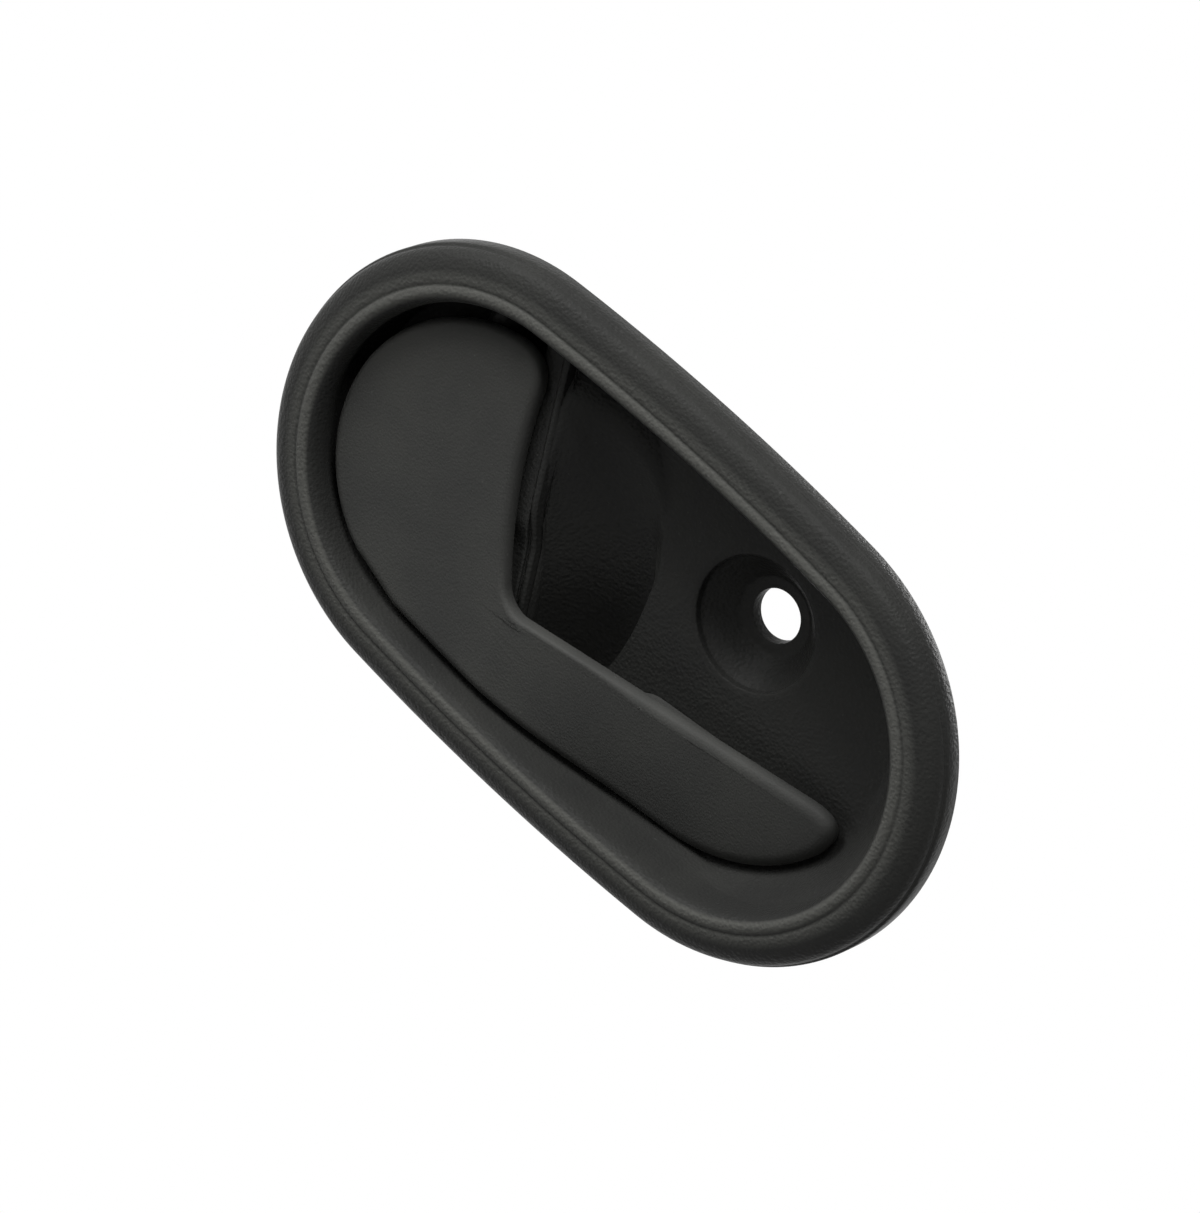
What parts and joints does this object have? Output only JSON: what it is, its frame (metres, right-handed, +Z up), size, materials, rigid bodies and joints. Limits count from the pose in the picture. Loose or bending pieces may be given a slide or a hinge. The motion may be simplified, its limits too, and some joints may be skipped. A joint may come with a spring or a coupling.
{
  "type": "interior door handle",
  "caption": "Oval interior door handle: a moulded trim ring and finger cup with a comma shaped pull lever on an upright spring loaded hinge pin.",
  "frame": {"origin": "middle of the trim ring's back edge, in the plane that lies on the door panel", "axes": "+X along the door from the hinge end to the free end of the lever, -Y out of the door towards the person, +Z up"},
  "size_m": [0.116, 0.0324, 0.068],
  "materials": {
    "housing_plastic": "fine leather-like grain, charcoal black",
    "lever_plastic": "satin, fine grain, charcoal black",
    "steel": "zinc plated",
    "spring_steel": "drawn wire",
    "buffer_rubber": "matt",
    "clip_plastic": "natural, slightly glossy"
  },
  "bodies": {
    "housing": {"housing": "housing_plastic", "hinge_pin": "steel", "pin_retainer": "steel", "return_spring": "spring_steel", "rest_buffer": "buffer_rubber", "stop_buffer": "buffer_rubber"},
    "lever": {"lever": "lever_plastic"},
    "rod_clip": {"rod_clip": "clip_plastic"}
  },
  "joints": [
    {"name": "lever_pull", "type": "hinge", "parent": "housing", "child": "lever", "pos_m": [-0.035, 0.0027, 0], "axis": [0, 0, -1], "range_deg": [0, 22], "stiffness_Nm_per_rad": 0.15, "springref_deg": -20.05, "deforming": ["return_spring"]},
    {"name": "rod_clip_swivel", "type": "hinge", "parent": "lever", "child": "rod_clip", "pos_m": [-0.035, 0.0217, -0.009], "axis": [0, 0, 1], "range_deg": [-30, 30]}
  ]
}
